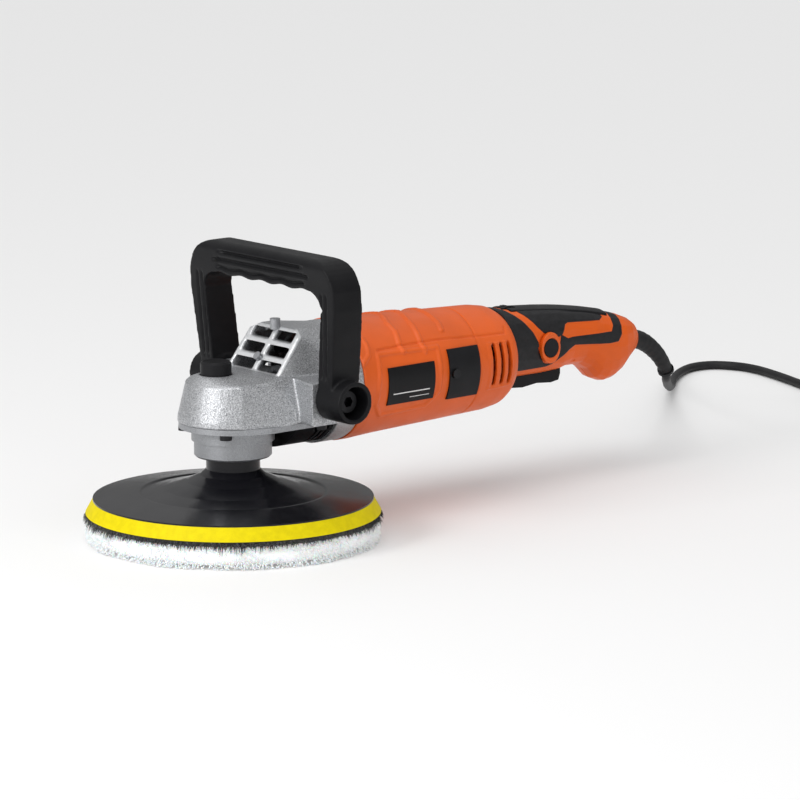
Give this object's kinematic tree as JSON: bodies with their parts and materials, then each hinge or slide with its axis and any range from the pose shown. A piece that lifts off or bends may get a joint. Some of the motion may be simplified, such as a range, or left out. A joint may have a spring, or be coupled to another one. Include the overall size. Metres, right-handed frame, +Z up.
{
  "type": "rotary polisher",
  "caption": "Corded rotary polisher with a bail handle, a bevel gear head, an inline motor, a clamshell rear handle with a paddle trigger, and a wool pad on a backing plate.",
  "frame": {"origin": "spindle axis at the working face of the wool pad", "axes": "+X along the tool to its tail, +Z up along the spindle, away from the work"},
  "size_m": [0.7682, 0.3205, 0.176],
  "materials": {
    "wool": "fluffy lambswool pile",
    "loop": "hook and loop layer",
    "foam": "dense foam",
    "plate": "satin moulded",
    "steel": "turned",
    "cast": "grainy die casting",
    "screw": "blackened",
    "rubber": "matt",
    "black": "fine texture",
    "bail": "satin moulded",
    "orange": "satin moulded",
    "iron": "laminated",
    "copper": "wound wire",
    "plate_label": "satin plate",
    "grip": "fine texture",
    "board": "board",
    "cord_coil": "matt",
    "tie": "woven tie",
    "plug": "fine texture",
    "pins": "plated"
  },
  "bodies": {
    "housing": {"gear_housing": "cast", "bearing_flange": "cast", "flange_screws": "screw", "dust_collar": "cast", "dust_seal": "rubber", "spindle_bearing": "steel", "spindle_bush": "steel", "exhaust_shroud": "black", "dome_screws": "screw", "bail_handle": "bail", "bail_bolts": "screw", "lock_spring": "steel", "motor_housing": "orange", "housing_screws": "screw", "front_bearing": "steel", "rear_bearing": "steel", "air_baffle": "black", "stator_core": "iron", "field_coils": "copper", "brush_holders": "copper", "carbon_brushes": "black", "brush_springs": "steel", "brush_covers": "black", "brush_cover_screws": "screw", "name_plates": "plate_label", "handle_shell_left": "orange", "handle_shell_right": "orange", "handle_grip": "grip", "button_ring": "orange", "handle_screws": "screw", "switch_body": "black", "speed_module": "board", "cable_clamp": "black", "trigger_pin": "steel", "trigger_spring": "steel", "strain_relief": "rubber", "power_cord": "rubber", "cord_coil": "cord_coil", "coil_tie": "tie", "plug_body": "plug", "plug_pins": "pins"},
    "spindle": {"spindle": "steel", "crown_gear": "steel", "backing_plate": "plate", "foam_ring": "foam", "loop_disc": "loop", "wool_pad": "wool"},
    "armature": {"armature_shaft": "steel", "pinion": "steel", "armature_core": "iron", "armature_windings": "copper", "commutator": "copper", "cooling_fan": "black"},
    "trigger": {"trigger": "black"},
    "lock_on": {"lock_on_button": "black"},
    "spindle_lock": {"lock_button": "black"},
    "dial": {"speed_dial": "black"}
  },
  "joints": [
    {"name": "spindle_spin", "type": "hinge", "parent": "housing", "child": "spindle", "pos_m": [0, 0, 0.05], "axis": [0, 0, 1], "continuous": true},
    {"name": "armature_spin", "type": "hinge", "parent": "housing", "child": "armature", "pos_m": [0.1, 0, 0.09], "axis": [1, 0, 0], "continuous": true},
    {"name": "trigger_pull", "type": "hinge", "parent": "housing", "child": "trigger", "pos_m": [0.211, 0, 0.078], "axis": [0, -1, 0], "range_deg": [0, 5], "stiffness_Nm_per_rad": 0.6, "springref_deg": -5.73, "deforming": ["trigger_spring"]},
    {"name": "lock_on_press", "type": "slide", "parent": "housing", "child": "lock_on", "axis": [0, 1, 0], "range_m": [0, 0.0025], "stiffness_N_per_m": 300, "springref_m": -0.001},
    {"name": "spindle_lock_press", "type": "slide", "parent": "housing", "child": "spindle_lock", "axis": [0, 0, -1], "range_m": [0, 0.004], "stiffness_N_per_m": 500, "springref_m": -0.002, "deforming": ["lock_spring"]},
    {"name": "speed_dial_turn", "type": "hinge", "parent": "housing", "child": "dial", "pos_m": [0.219, 0, 0.111], "axis": [0, 1, 0], "range_deg": [0, 270]}
  ],
  "couplings": [
    {"joint": "armature_spin", "follows": "spindle_spin", "ratio": 3.9091}
  ]
}
